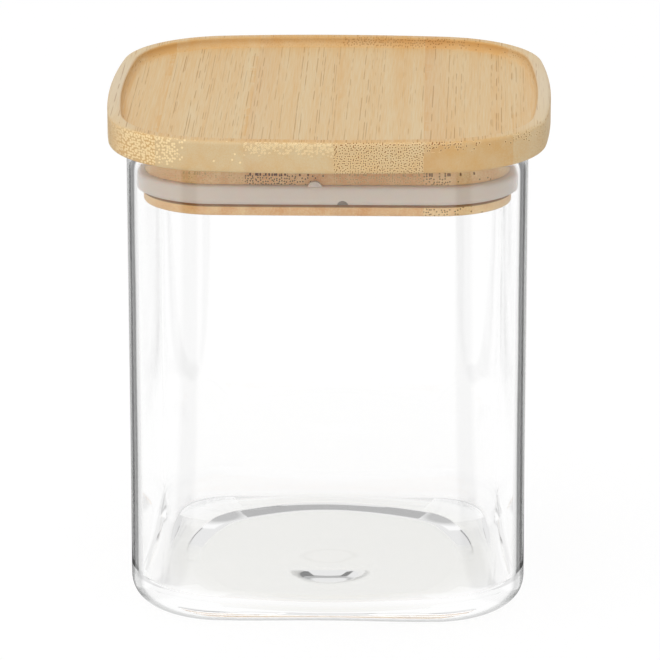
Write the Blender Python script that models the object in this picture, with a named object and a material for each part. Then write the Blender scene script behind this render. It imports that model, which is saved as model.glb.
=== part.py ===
"""Square glass storage jar with a laminated bamboo lid and a silicone seal.

Metres, +Z up. The origin is the middle of the standing plane under the jar.
The front of the jar faces -Y, and the bamboo's fibres run front to back.
"""

import math

import bmesh
import bpy
from mathutils import Vector

MM = 0.001

# Glass body
JAR_WIDTH = 100.0 * MM
JAR_HEIGHT = 119.3 * MM
JAR_SIDE_RADIUS = 2900.0 * MM
JAR_CORNER_RADIUS = 22.5 * MM
GLASS_WALL = 2.5 * MM
BASE_THICKNESS = 3.2 * MM
HEEL_REACH = 6.2 * MM
HEEL_RISE = 7.2 * MM
INNER_HEEL_REACH = 6.0 * MM
INNER_HEEL_RISE = 6.5 * MM
BASE_ROUNDNESS = 0.1
BEARING_WIDTH = 4.0 * MM
FOOT_ARCH_RISE = 0.45 * MM
FOOT_ARCH_FADE = 10.0 * MM
PUNT_RISE = 1.0 * MM
MOULD_MARK_RADIUS = 9.5 * MM
MOULD_MARK_DROP = 0.9 * MM
MOULD_MARK_OFFSET_Y = -11.0 * MM

# Bamboo lid: the board that caps the jar
LID_OVERHANG = 5.7 * MM
LID_SIDE_RADIUS = 270.0 * MM
LID_CORNER_RADIUS = 28.4 * MM
BOARD_THICKNESS = 8.0 * MM
BOARD_TOP_ROUND = 1.0 * MM
BOARD_BOTTOM_ROUND = 1.2 * MM
RIM_WIDTH = 3.4 * MM
RIM_INNER_ROUND = 0.5 * MM
RECESS_DEPTH = 2.5 * MM
RECESS_FILLET = 1.8 * MM
RIM_SEAT_GAP = 0.3 * MM

# Bamboo plug under the board, with its groove for the seal
PLUG_DEPTH = 13.0 * MM
PLUG_CLEARANCE = 1.8 * MM
COLLAR_HEIGHT = 4.9 * MM
GROOVE_HEIGHT = 5.2 * MM
GROOVE_DEPTH = 2.0 * MM
PLUG_EDGE_ROUND = 0.7 * MM

# Silicone seal ring
SEAL_GLASS_CLEARANCE = 0.3 * MM
SEAL_SEAT_CLEARANCE = 0.15 * MM
SEAL_UPPER_ROUND = 0.4 * MM
SEAL_LOWER_ROUND = 1.6 * MM
TAB_WIDTH = 4.0 * MM
TAB_RISE = 1.1 * MM
TAB_PLUG_CLEARANCE = 0.2 * MM
TAB_OFFSET_X = -4.4 * MM
NOTCH_RADIUS = 1.35 * MM
NOTCH_DEPTH = 1.8 * MM
NOTCH_OFFSET_X = 3.3 * MM

# Glued strips: the blank is wider than the board, and is sawn to its outline
STRIP_COUNT = 6
BLANK_MARGIN = 9.5 * MM
JOINT_OFFSET_X = 2.2 * MM
GLUE_LINE = 0.1 * MM
SMALLEST_STRIP = 5.0 * MM

# Facets
SIDE_STEPS = 3
CORNER_STEPS = 8
ROUND_STEPS = 3
HEEL_STEPS = 6
RIM_STEPS = 6
SEAL_STEPS = 5
MARK_STEPS = 5
PUNT_STEPS = 5
FLOOR_STEPS = 4
SMOOTH_ANGLE = math.radians(35.0)

JAR_HALF = JAR_WIDTH / 2
BORE_HALF = JAR_HALF - GLASS_WALL
LID_HALF = JAR_HALF + LID_OVERHANG
PLUG_HALF = BORE_HALF - PLUG_CLEARANCE
GROOVE_HALF = PLUG_HALF - GROOVE_DEPTH
PUNT_HALF = JAR_HALF - HEEL_REACH - BEARING_WIDTH
BOARD_UNDERSIDE_Z = JAR_HEIGHT + RIM_SEAT_GAP
MIDDLE_CORNER_RADIUS = 3.0 * MM


def clear_scene():
    for obj in list(bpy.data.objects):
        bpy.data.objects.remove(obj, do_unlink=True)


def make_material(name, rgb, roughness, transmission=0.0, ior=1.5):
    material = bpy.data.materials.new(name)
    material.use_nodes = True
    shader = material.node_tree.nodes["Principled BSDF"]
    shader.inputs["Base Color"].default_value = (*rgb, 1.0)
    shader.inputs["Roughness"].default_value = roughness
    shader.inputs["Metallic"].default_value = 0.0
    shader.inputs["Transmission Weight"].default_value = transmission
    shader.inputs["IOR"].default_value = ior
    material.diffuse_color = (*rgb, 1.0)
    return material


def bowed_square(half, side_radius, corner_radius):
    """Outline of a square with bowed sides and round corners, anticlockwise from +X.

    Each side is an arc whose centre lies on the axis through that side, and each
    corner is an arc that meets both of its neighbours without a kink. The third
    value of a point is how far along its side it lies: 1 mid-side, 0 at a corner.
    """
    setback = side_radius - half
    reach = math.sqrt(2 * (side_radius - corner_radius) ** 2 - setback ** 2)
    centre = (reach - setback) / 2
    bow_angle = math.atan2(centre, centre + setback)
    quarter = []
    for step in range(SIDE_STEPS):
        angle = bow_angle * step / SIDE_STEPS
        x = side_radius * math.cos(angle) - setback
        y = side_radius * math.sin(angle)
        quarter.append((x, y, 1 - step / SIDE_STEPS))
    for step in range(CORNER_STEPS):
        angle = bow_angle + (math.pi / 2 - 2 * bow_angle) * step / CORNER_STEPS
        x = centre + corner_radius * math.cos(angle)
        y = centre + corner_radius * math.sin(angle)
        quarter.append((x, y, 0.0))
    for step in range(SIDE_STEPS):
        angle = math.pi / 2 - bow_angle * (1 - step / SIDE_STEPS)
        x = side_radius * math.cos(angle)
        y = side_radius * math.sin(angle) - setback
        quarter.append((x, y, step / SIDE_STEPS))
    points = []
    for turn in range(4):
        for x, y, along in quarter:
            for _ in range(turn):
                x, y = -y, x
            points.append((x, y, along))
    return points


def jar_outline(half, roundness=0.0):
    """Outline of the glass at a half width: a true offset of the outer wall.

    Roundness eases it into a circle. So does the middle of the base, where the
    corners would run out of radius.
    """
    inset = JAR_HALF - half
    deepest = JAR_CORNER_RADIUS - MIDDLE_CORNER_RADIUS
    if inset <= deepest:
        edge = bowed_square(half, JAR_SIDE_RADIUS - inset, JAR_CORNER_RADIUS - inset)
        share = 1.0
    else:
        edge = bowed_square(JAR_HALF - deepest, JAR_SIDE_RADIUS - deepest, MIDDLE_CORNER_RADIUS)
        share = half / (JAR_HALF - deepest)
    squareness = min(share, 1.0 - roundness)
    points = []
    for x, y, along in edge:
        angle = math.atan2(y, x)
        square = Vector((x, y)) * share
        circle = Vector((math.cos(angle), math.sin(angle))) * half
        point = square * squareness + circle * (1 - squareness)
        points.append((point.x, point.y, along))
    return points


def lid_outline(half):
    """Outline of the lid's board at a half width, as a true offset of its edge."""
    inset = LID_HALF - half
    return bowed_square(half, LID_SIDE_RADIUS - inset, LID_CORNER_RADIUS - inset)


def plug_outline(half):
    """Outline of the plug and seal, which follow the bore of the glass."""
    return jar_outline(half)


def arc(centre_u, centre_z, radius, start, end, steps):
    """Points of a profile's arc from start to end degrees, both ends included."""
    points = []
    for step in range(steps + 1):
        angle = math.radians(start + (end - start) * step / steps)
        points.append((centre_u + radius * math.cos(angle), centre_z + radius * math.sin(angle)))
    return points


def loft(bm, profile, outline, bend=None, ring=False):
    """Skin a profile of (half width, height) pairs swept round an outline function.

    A pair may be followed by its roundness, and bend moves the finished points. Both
    ends are capped with a flat face, or with a point where the half width is zero.
    With ring set, the profile closes on itself instead.
    """
    rows = []
    for half, z, *roundness in profile:
        edge = outline(half, *roundness) if half > 0 else [(0.0, 0.0, 0.0)]
        row = []
        for x, y, along in edge:
            row.append(bm.verts.new(bend(x, y, z, half, along) if bend else (x, y, z)))
        rows.append(row)
    pairs = list(zip(rows, rows[1:]))
    if ring:
        pairs.append((rows[-1], rows[0]))
    for lower, upper in pairs:
        count = max(len(lower), len(upper))
        for i in range(count):
            j = (i + 1) % count
            corners = [lower[i % len(lower)], lower[j % len(lower)]]
            corners += [upper[j % len(upper)], upper[i % len(upper)]]
            bm.faces.new(list(dict.fromkeys(corners)))
    if not ring:
        for row in (rows[0], rows[-1]):
            if len(row) > 1:
                bm.faces.new(row)
    bmesh.ops.recalc_face_normals(bm, faces=bm.faces)


def cut_between(bm, low_x, high_x):
    """Keep the part of a closed mesh between two planes square to X, and close it."""
    for x, side in ((low_x, -1), (high_x, 1)):
        if x is None:
            continue
        geometry = bm.verts[:] + bm.edges[:] + bm.faces[:]
        bmesh.ops.bisect_plane(
            bm, geom=geometry, dist=1e-8, plane_co=(x, 0, 0), plane_no=(side, 0, 0), clear_outer=True
        )
        open_edges = [edge for edge in bm.edges if edge.is_boundary]
        bmesh.ops.holes_fill(bm, edges=open_edges, sides=0)
    bmesh.ops.recalc_face_normals(bm, faces=bm.faces)


def add_object(name, bm, material, parent=None):
    mesh = bpy.data.meshes.new(name)
    bm.to_mesh(mesh)
    bm.free()
    mesh.materials.append(material)
    mesh.shade_smooth()
    mesh.set_sharp_from_angle(angle=SMOOTH_ANGLE)
    obj = bpy.data.objects.new(name, mesh)
    bpy.context.scene.collection.objects.link(obj)
    obj.parent = parent
    return obj


def strip_joints(half):
    """X of the glue lines across a board of this half width, left to right."""
    blank_width = 2 * (LID_HALF + BLANK_MARGIN)
    joints = []
    for index in range(1, STRIP_COUNT):
        x = JOINT_OFFSET_X + blank_width * (index / STRIP_COUNT - 0.5)
        if abs(x) <= half - SMALLEST_STRIP:
            joints.append(x)
    return joints


def add_strips(name, profile, outline, half, material, parent):
    """A milled board, sawn on its glue lines into the strips that it is made of."""
    joints = [None] + strip_joints(half) + [None]
    for index, (left, right) in enumerate(zip(joints, joints[1:]), start=1):
        bm = bmesh.new()
        loft(bm, profile, outline)
        low = None if left is None else left + GLUE_LINE / 2
        high = None if right is None else right - GLUE_LINE / 2
        cut_between(bm, low, high)
        add_object(f"{name}_{index}", bm, material, parent)


def heel(edge, low, reach, rise):
    """An elliptical heel from its foot up to the wall, rounder towards its foot."""
    points = []
    for step in range(HEEL_STEPS + 1):
        angle = math.pi / 2 * step / HEEL_STEPS
        inwards = 1 - math.sin(angle)
        height = low + rise * (1 - math.cos(angle))
        points.append((edge - reach * inwards, height, BASE_ROUNDNESS * inwards))
    return points


def glass_profile():
    """The glass from the middle of its underside, round the wall, to its inner floor."""
    halves = [MOULD_MARK_RADIUS * step / MARK_STEPS for step in range(MARK_STEPS)]
    punt_width = PUNT_HALF - MOULD_MARK_RADIUS
    halves += [MOULD_MARK_RADIUS + punt_width * step / PUNT_STEPS for step in range(PUNT_STEPS + 1)]
    profile = []
    for half in halves:
        outwards = max(0.0, (half - MOULD_MARK_RADIUS) / punt_width)
        rise = PUNT_RISE * (1 - (half / PUNT_HALF) ** 4)
        profile.append((half, rise, 1 - (1 - BASE_ROUNDNESS) * outwards))
    profile += heel(JAR_HALF, 0.0, HEEL_REACH, HEEL_RISE)
    rim_radius = GLASS_WALL / 2
    profile += arc(JAR_HALF - rim_radius, JAR_HEIGHT - rim_radius, rim_radius, 0, 180, RIM_STEPS)
    inner_heel = heel(BORE_HALF, BASE_THICKNESS, INNER_HEEL_REACH, INNER_HEEL_RISE)
    profile += inner_heel[::-1]
    foot = BORE_HALF - INNER_HEEL_REACH
    for step in range(FLOOR_STEPS - 1, -1, -1):
        share = step / FLOOR_STEPS
        profile.append((foot * share, BASE_THICKNESS, 1 - (1 - BASE_ROUNDNESS) * share))
    return profile


def shape_underside(x, y, z, half, along):
    """Raise the standing edge between its four feet, and set the mould mark under the base."""
    if z >= BASE_THICKNESS:
        return (x, y, z)
    wave = math.sin(along * math.pi / 2) ** 2
    arch_share = min(1.0, max(0.0, 1 + (half - PUNT_HALF) / FOOT_ARCH_FADE))
    arch = FOOT_ARCH_RISE * wave * arch_share * (1 - z / BASE_THICKNESS)
    mark_share = min(1.0, half / MOULD_MARK_RADIUS)
    drop = MOULD_MARK_DROP * (1 + math.cos(math.pi * mark_share)) / 2
    shift_share = min(1.0, max(0.0, (PUNT_HALF - half) / (PUNT_HALF - MOULD_MARK_RADIUS)))
    return (x, y + MOULD_MARK_OFFSET_Y * shift_share, z + arch - drop)


def build_glass_jar(material):
    bm = bmesh.new()
    loft(bm, glass_profile(), jar_outline, bend=shape_underside)
    add_object("glass_jar", bm, material)


def board_profile():
    """The lid's board, from its flat underside, over the rim, to the dished floor."""
    recess_half = LID_HALF - RIM_WIDTH
    floor_z = BOARD_THICKNESS - RECESS_DEPTH
    profile = arc(
        LID_HALF - BOARD_BOTTOM_ROUND, BOARD_BOTTOM_ROUND, BOARD_BOTTOM_ROUND, -90, 0, ROUND_STEPS
    )
    profile += arc(
        LID_HALF - BOARD_TOP_ROUND, BOARD_THICKNESS - BOARD_TOP_ROUND, BOARD_TOP_ROUND, 0, 90, ROUND_STEPS
    )
    profile += arc(
        recess_half + RIM_INNER_ROUND, BOARD_THICKNESS - RIM_INNER_ROUND, RIM_INNER_ROUND, 90, 180, 2
    )
    profile += arc(
        recess_half - RECESS_FILLET, floor_z + RECESS_FILLET, RECESS_FILLET, 0, -90, ROUND_STEPS
    )
    return profile


def plug_profile():
    """The plug from its glued top down to its lower edge, with the seal's groove."""
    groove_top = -COLLAR_HEIGHT
    groove_bottom = groove_top - GROOVE_HEIGHT
    profile = [
        (PLUG_HALF, -GLUE_LINE),
        (PLUG_HALF, groove_top),
        (GROOVE_HALF, groove_top),
        (GROOVE_HALF, groove_bottom),
        (PLUG_HALF, groove_bottom),
    ]
    profile += arc(
        PLUG_HALF - PLUG_EDGE_ROUND, PLUG_EDGE_ROUND - PLUG_DEPTH, PLUG_EDGE_ROUND, 0, -90, ROUND_STEPS
    )
    return profile


def seal_section():
    """The seal's closed section: square in its groove, and drawn in at its lower edge."""
    top = -COLLAR_HEIGHT - SEAL_SEAT_CLEARANCE
    bottom = -COLLAR_HEIGHT - GROOVE_HEIGHT + SEAL_SEAT_CLEARANCE
    outer = BORE_HALF - SEAL_GLASS_CLEARANCE
    section = [(GROOVE_HALF + SEAL_SEAT_CLEARANCE, bottom)]
    section += arc(
        outer - SEAL_LOWER_ROUND, bottom + SEAL_LOWER_ROUND, SEAL_LOWER_ROUND, -90, 0, SEAL_STEPS
    )
    section += arc(outer - SEAL_UPPER_ROUND, top - SEAL_UPPER_ROUND, SEAL_UPPER_ROUND, 0, 90, ROUND_STEPS)
    section.append((GROOVE_HALF + SEAL_SEAT_CLEARANCE, top))
    return section


def add_tool(name, bm, parent):
    mesh = bpy.data.meshes.new(name)
    bmesh.ops.recalc_face_normals(bm, faces=bm.faces)
    bm.to_mesh(mesh)
    bm.free()
    tool = bpy.data.objects.new(name, mesh)
    bpy.context.scene.collection.objects.link(tool)
    tool.parent = parent
    tool.hide_render = True
    tool.display_type = "WIRE"
    return tool


def add_boolean(obj, tool, operation):
    modifier = obj.modifiers.new(tool.name, "BOOLEAN")
    modifier.object = tool
    modifier.operation = operation
    modifier.solver = "EXACT"


def build_seal(material, parent):
    bm = bmesh.new()
    loft(bm, seal_section(), plug_outline, ring=True)
    seal = add_object("seal_ring", bm, material, parent)

    outer = BORE_HALF - SEAL_GLASS_CLEARANCE
    top = -COLLAR_HEIGHT - SEAL_SEAT_CLEARANCE
    bottom = -COLLAR_HEIGHT - GROOVE_HEIGHT + SEAL_SEAT_CLEARANCE

    tab = bmesh.new()
    front = SEAL_UPPER_ROUND / 2 - outer
    thickness = -front - PLUG_HALF - TAB_PLUG_CLEARANCE
    root = top - TAB_RISE
    bmesh.ops.create_cone(
        tab, cap_ends=True, segments=16, radius1=TAB_WIDTH / 2, radius2=TAB_WIDTH / 2, depth=thickness
    )
    for vert in tab.verts:
        x, y, z = vert.co
        height = root if y < 0 else root + (top + TAB_RISE - root) * y / (TAB_WIDTH / 2)
        vert.co = (TAB_OFFSET_X + x, front + thickness / 2 + z, height)
    bmesh.ops.remove_doubles(tab, verts=tab.verts, dist=1e-7)
    add_boolean(seal, add_tool("seal_tab_tool", tab, parent), "UNION")

    notch = bmesh.new()
    bmesh.ops.create_cone(
        notch, cap_ends=True, segments=16, radius1=NOTCH_RADIUS, radius2=NOTCH_RADIUS,
        depth=2 * NOTCH_DEPTH
    )
    for vert in notch.verts:
        x, y, z = vert.co
        vert.co = (NOTCH_OFFSET_X + x, -outer + z, bottom + y)
    add_boolean(seal, add_tool("seal_notch_tool", notch, parent), "DIFFERENCE")


def main():
    clear_scene()
    glass = make_material("clear_glass", (0.93, 0.95, 0.94), 0.02, transmission=1.0, ior=1.47)
    bamboo = make_material("bamboo", (0.66, 0.47, 0.26), 0.55)
    plug_bamboo = make_material("plug_bamboo", (0.55, 0.36, 0.19), 0.6)
    silicone = make_material("silicone", (0.55, 0.50, 0.45), 0.45)

    lid = bpy.data.objects.new("lid_lift_axis", None)
    bpy.context.scene.collection.objects.link(lid)
    lid.location = (0, 0, BOARD_UNDERSIDE_Z)

    build_glass_jar(glass)
    add_strips("lid_strip", board_profile(), lid_outline, LID_HALF, bamboo, lid)
    add_strips("plug_strip", plug_profile(), plug_outline, PLUG_HALF, plug_bamboo, lid)
    build_seal(silicone, lid)


if __name__ == "__main__":
    main()
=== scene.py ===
"""Looks of a square glass storage jar with a laminated bamboo lid and a silicone seal."""

import math

import bmesh
import bpy
from bpy.props import FloatProperty, FloatVectorProperty, PointerProperty
from mathutils import Matrix, Vector


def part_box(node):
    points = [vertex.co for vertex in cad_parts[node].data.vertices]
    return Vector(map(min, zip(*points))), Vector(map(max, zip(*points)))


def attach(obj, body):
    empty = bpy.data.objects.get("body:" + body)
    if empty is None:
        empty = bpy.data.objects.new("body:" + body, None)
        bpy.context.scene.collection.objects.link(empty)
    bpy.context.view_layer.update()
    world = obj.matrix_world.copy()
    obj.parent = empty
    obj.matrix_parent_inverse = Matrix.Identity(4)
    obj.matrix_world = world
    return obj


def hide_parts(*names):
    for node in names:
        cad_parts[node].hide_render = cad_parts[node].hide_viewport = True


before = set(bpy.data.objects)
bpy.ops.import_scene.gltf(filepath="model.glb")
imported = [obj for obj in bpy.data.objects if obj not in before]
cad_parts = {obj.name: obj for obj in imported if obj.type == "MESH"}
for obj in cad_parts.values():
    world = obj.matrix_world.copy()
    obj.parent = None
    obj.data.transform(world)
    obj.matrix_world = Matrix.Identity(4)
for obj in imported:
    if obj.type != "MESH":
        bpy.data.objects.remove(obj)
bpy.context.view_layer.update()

bl_info = {
    "name": "Glass Storage Jar",
    "version": (1, 0, 0),
    "blender": (4, 5, 0),
    "location": "View3D > Sidebar > Storage Jar",
    "description": "Dresses the packed jar in glass, bamboo and silicone",
    "category": "Object",
}

MM = 0.001
WELD = 0.001 * MM
SMOOTH_ANGLE = math.radians(32.0)

# What the frame says of each piece, in metres
JAR_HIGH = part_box("glass_jar")[1]
SEAL_LOW, SEAL_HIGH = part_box("seal_ring")
STRIP_NODES = sorted(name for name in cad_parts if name.startswith("lid_strip_"))
PLUG_NODES = sorted(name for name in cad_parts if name.startswith("plug_strip_"))
LID_LOW = Vector(map(min, zip(*(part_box(name)[0] for name in STRIP_NODES))))
LID_HIGH = Vector(map(max, zip(*(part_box(name)[1] for name in STRIP_NODES))))
PLUG_LOW = Vector(map(min, zip(*(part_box(name)[0] for name in PLUG_NODES))))
PLUG_HIGH = Vector(map(max, zip(*(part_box(name)[1] for name in PLUG_NODES))))
LID_JOINTS = [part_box(name)[1].x for name in STRIP_NODES[:-1]]
PLUG_JOINTS = [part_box(name)[1].x for name in PLUG_NODES[:-1]]

# How each glued strip looks, left to right: tone 0 pale to 1 orange, share of fibre bundles,
# depth in mm that they all reach below the top, lean of the grain, how dark the bundles' cores
# are, the width in mm over which they thin out, and a red blush along the left joint
STRIP_LOOK = ("tone", "bundles", "depth", "lean", "darkness", "fade", "blush")
BOARD_STRIPS = (
    (0.75, 1.0, 6.0, 0.0, 0.0, 90.0, 0.0),
    (0.28, 0.8, 5.0, 0.0, 0.0, 6.0, 0.0),
    (0.22, 0.9, 1.4, 0.0, 0.22, 90.0, 0.5),
    (0.35, 1.0, 12.0, 0.008, 0.9, 90.0, 0.0),
    (0.64, 1.0, 0.6, 0.012, 1.0, 13.0, 0.6),
    (0.28, 0.5, 0.8, 0.014, 0.8, 90.0, 0.0),
)
PLUG_STRIPS = (
    (0.45, 0.5, 12.5, 0.0, 0.3, 90.0, 0.0),
    (0.55, 1.0, 12.5, 0.0, 1.0, 16.0, 0.25),
    (0.55, 0.8, 12.5, 0.0, 0.4, 90.0, 0.35),
    (0.30, 0.8, 30.0, 0.0, 0.8, 8.0, 0.0),
)


def linear(hex_colour):
    """Turn an sRGB hex colour such as D5B98F into linear RGBA."""
    channels = [int(hex_colour[i:i + 2], 16) / 255 for i in (0, 2, 4)]
    return (*(c / 12.92 if c <= 0.04045 else ((c + 0.055) / 1.055) ** 2.4 for c in channels), 1.0)


# Settings

class JarGlassSettings(bpy.types.PropertyGroup):
    """Sizes of the blown glass body, and the grey shade painted on where it is seen edge on."""

    half_width: FloatProperty(
        name="Half Width", description="From the axis to the middle of a side", default=JAR_HIGH.x,
        min=0.01, unit="LENGTH")
    height: FloatProperty(
        name="Height", description="Standing plane to the top of the rim", default=JAR_HIGH.z, min=0.01,
        unit="LENGTH")
    side_radius: FloatProperty(
        name="Side Radius", description="Bow of the four sides", default=2900 * MM, unit="LENGTH")
    corner_radius: FloatProperty(
        name="Corner Radius", description="Round of the four upright corners", default=22.5 * MM,
        unit="LENGTH")
    wall: FloatProperty(
        name="Wall", description="Thickness of the side walls", default=2.5 * MM, unit="LENGTH")
    base: FloatProperty(
        name="Base", description="Height of the inner floor", default=3.2 * MM, unit="LENGTH")
    heel_reach: FloatProperty(
        name="Heel Reach", description="How far in the outer round between wall and base runs",
        default=6.2 * MM, unit="LENGTH")
    heel_rise: FloatProperty(
        name="Heel Rise", description="Height of the outer round", default=7.2 * MM, unit="LENGTH")
    inner_heel_reach: FloatProperty(
        name="Inner Heel Reach", description="How far in the inner round runs", default=6.0 * MM,
        unit="LENGTH")
    inner_heel_rise: FloatProperty(
        name="Inner Heel Rise", description="Height of the inner round above the floor", default=6.5 * MM,
        unit="LENGTH")
    base_roundness: FloatProperty(
        name="Base Roundness", description="How near the standing edge comes to a circle", default=0.1,
        min=0.0, max=1.0, subtype="FACTOR")
    inner_roundness: FloatProperty(
        name="Inner Roundness", description="How near the inner floor's edge comes to a circle",
        default=0.6, min=0.0, max=1.0, subtype="FACTOR")
    bearing_width: FloatProperty(
        name="Bearing Width", description="Width of the edge that the jar stands on", default=5.0 * MM,
        unit="LENGTH")
    foot_arch: FloatProperty(
        name="Foot Arch", description="Rise of the standing edge between the corner feet",
        default=0.45 * MM, unit="LENGTH")
    foot_arch_fade: FloatProperty(
        name="Foot Arch Fade", description="How far in from the standing edge the arch dies out",
        default=20.0 * MM, unit="LENGTH")
    punt_rise: FloatProperty(
        name="Punt Rise", description="Hollow under the base", default=1.0 * MM, unit="LENGTH")
    punt_step: FloatProperty(
        name="Punt Step", description="Width of the slope between standing edge and hollow",
        default=5.5 * MM, unit="LENGTH")
    punt_roundness: FloatProperty(
        name="Punt Roundness", description="How near the hollow's edge comes to a circle", default=0.75,
        min=0.0, max=1.0, subtype="FACTOR")
    mark_radius: FloatProperty(
        name="Mark Radius", description="Round mould mark under the base", default=14.5 * MM,
        unit="LENGTH")
    mark_drop: FloatProperty(
        name="Mark Drop", description="How far the mould mark swells down", default=0.95 * MM,
        unit="LENGTH")
    mark_y: FloatProperty(
        name="Mark Place", description="Mould mark's place before or behind the axis", default=-10.0 * MM,
        unit="LENGTH")
    waviness: FloatProperty(
        name="Waviness", description="Unevenness of the inner wall, as blown glass has",
        default=0.05 * MM, unit="LENGTH")
    bounces: FloatProperty(
        name="Bounces", description="Light that is reflected inside more often than this leaves unbent",
        default=2.5, min=0.0)
    ior: FloatProperty(
        name="IOR", description="Borosilicate glass is about 1.47", default=1.47, min=1.0, max=2.0)
    # Painted shade: the grey that the glass is tinted where it is seen edge on
    edge_shade_colour: FloatVectorProperty(
        name="Edge Tint", description="Colour of the light that grazes the wall", subtype="COLOR", size=4,
        default=linear("4A4E4B"), min=0.0, max=1.0)


class LidBoardSettings(bpy.types.PropertyGroup):
    """Sizes and colours of the dished bamboo board."""

    side_radius: FloatProperty(
        name="Side Radius", description="Bow of the board's sides", default=270 * MM, unit="LENGTH")
    corner_radius: FloatProperty(
        name="Corner Radius", description="Round of the board's corners", default=28.4 * MM,
        unit="LENGTH")
    top_round: FloatProperty(
        name="Top Round", description="Sanded round of the upper edge", default=1.0 * MM, unit="LENGTH")
    bottom_round: FloatProperty(
        name="Bottom Round", description="Sanded round of the lower edge", default=1.2 * MM,
        unit="LENGTH")
    rim_width: FloatProperty(
        name="Rim Width", description="Flat rim round the dish", default=3.4 * MM, unit="LENGTH")
    rim_inner_round: FloatProperty(
        name="Rim Inner Round", description="Soft edge where the rim falls into the dish",
        default=0.5 * MM, unit="LENGTH")
    recess_depth: FloatProperty(
        name="Recess Depth", description="Depth of the dish", default=2.5 * MM, unit="LENGTH")
    recess_fillet: FloatProperty(
        name="Recess Fillet", description="Cutter's round at the foot of the dish", default=1.8 * MM,
        unit="LENGTH")
    pale: FloatVectorProperty(
        name="Pale", description="Ground between the fibres", subtype="COLOR", size=4,
        default=linear("DDC59A"), min=0.0, max=1.0)
    warm: FloatVectorProperty(
        name="Warm", description="Ground of the warmer strips", subtype="COLOR", size=4,
        default=linear("D8A968"), min=0.0, max=1.0)
    dark: FloatVectorProperty(
        name="Dark", description="Cores of the fibre bundles", subtype="COLOR", size=4,
        default=linear("8A4A00"), min=0.0, max=1.0)
    fleck: FloatVectorProperty(
        name="Fleck", description="Sheaths round the bundles where they are cut across", subtype="COLOR",
        size=4, default=linear("FFE6B2"), min=0.0, max=1.0)


class PlugSettings(bpy.types.PropertyGroup):
    """Sizes and colours of the plug that carries the seal."""

    groove_depth: FloatProperty(
        name="Groove Depth", description="Depth of the seal's groove", default=2.0 * MM, unit="LENGTH")
    edge_round: FloatProperty(
        name="Edge Round", description="Round of the plug's lower edge", default=0.7 * MM, unit="LENGTH")
    pale: FloatVectorProperty(
        name="Pale", description="Ground between the fibres", subtype="COLOR", size=4,
        default=linear("FFE2AC"), min=0.0, max=1.0)
    warm: FloatVectorProperty(
        name="Warm", description="Ground of the warmer strips", subtype="COLOR", size=4,
        default=linear("E39C54"), min=0.0, max=1.0)
    dark: FloatVectorProperty(
        name="Dark", description="Cores of the fibre bundles", subtype="COLOR", size=4,
        default=linear("5E2400"), min=0.0, max=1.0)
    fleck: FloatVectorProperty(
        name="Fleck", description="Sheaths round the bundles where they are cut across", subtype="COLOR",
        size=4, default=linear("FFD696"), min=0.0, max=1.0)


class SealSettings(bpy.types.PropertyGroup):
    """Sizes and colours of the silicone seal."""

    seat_clearance: FloatProperty(
        name="Seat Clearance", description="Gap to the groove", default=0.04 * MM, unit="LENGTH")
    glass_clearance: FloatProperty(
        name="Glass Clearance", description="Gap to the glass, which the real seal fills",
        default=0.1 * MM, unit="LENGTH")
    upper_round: FloatProperty(
        name="Upper Round", description="Round of the upper outer edge", default=0.9 * MM, unit="LENGTH")
    lower_round: FloatProperty(
        name="Lower Round", description="Round that lets the seal slide into the neck", default=1.6 * MM,
        unit="LENGTH")
    tab_width: FloatProperty(
        name="Tab Width", description="Pull tab on the upper edge", default=4.0 * MM, unit="LENGTH")
    tab_rise: FloatProperty(
        name="Tab Rise", description="How far the tab stands up", default=1.1 * MM, unit="LENGTH")
    tab_clearance: FloatProperty(
        name="Tab Clearance", description="Gap between the tab and the plug", default=0.2 * MM,
        unit="LENGTH")
    tab_x: FloatProperty(
        name="Tab Place", description="Tab's place along the front", default=-2.6 * MM, unit="LENGTH")
    notch_radius: FloatProperty(
        name="Notch Radius", description="Half-round nick in the lower edge", default=1.35 * MM,
        unit="LENGTH")
    notch_x: FloatProperty(
        name="Notch Place", description="Nick's place along the front", default=4.2 * MM, unit="LENGTH")
    notch_depth: FloatProperty(
        name="Notch Depth", description="How far in the nick reaches", default=1.8 * MM, unit="LENGTH")
    colour: FloatVectorProperty(
        name="Colour", description="Milky colour of the silicone", subtype="COLOR", size=4,
        default=linear("E0D2C3"), min=0.0, max=1.0)
    # Painted shade in the nick
    nick_colour: FloatVectorProperty(
        name="Nick Colour", description="Shade in the nick", subtype="COLOR", size=4,
        default=linear("857868"), min=0.0, max=1.0)


class StageSettings(bpy.types.PropertyGroup):
    """Camera and light."""

    azimuth: FloatProperty(
        name="Azimuth", description="Turn of the camera round the jar", default=math.radians(1.4),
        subtype="ANGLE")
    elevation: FloatProperty(
        name="Elevation", description="Height of the camera above the horizon",
        default=math.radians(17.45), subtype="ANGLE")
    roll: FloatProperty(
        name="Roll", description="Tilt of the camera", default=math.radians(-0.03), subtype="ANGLE")
    distance: FloatProperty(
        name="Distance", description="Camera to its aim", default=1131.85 * MM, unit="LENGTH")
    aim_x: FloatProperty(
        name="Aim Across", description="Aim beside the axis", default=-0.054 * MM, unit="LENGTH")
    aim_z: FloatProperty(
        name="Aim Height", description="Aim above the floor", default=62.95 * MM, unit="LENGTH")
    lens: FloatProperty(
        name="Lens", description="Focal length in mm on a 36 mm frame", default=240.15)
    gap_light: FloatProperty(
        name="Gap Light", description="Brightness of the gaps between the white screens", default=0.1,
        min=0.0, max=1.0, subtype="FACTOR")


# Helpers

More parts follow.
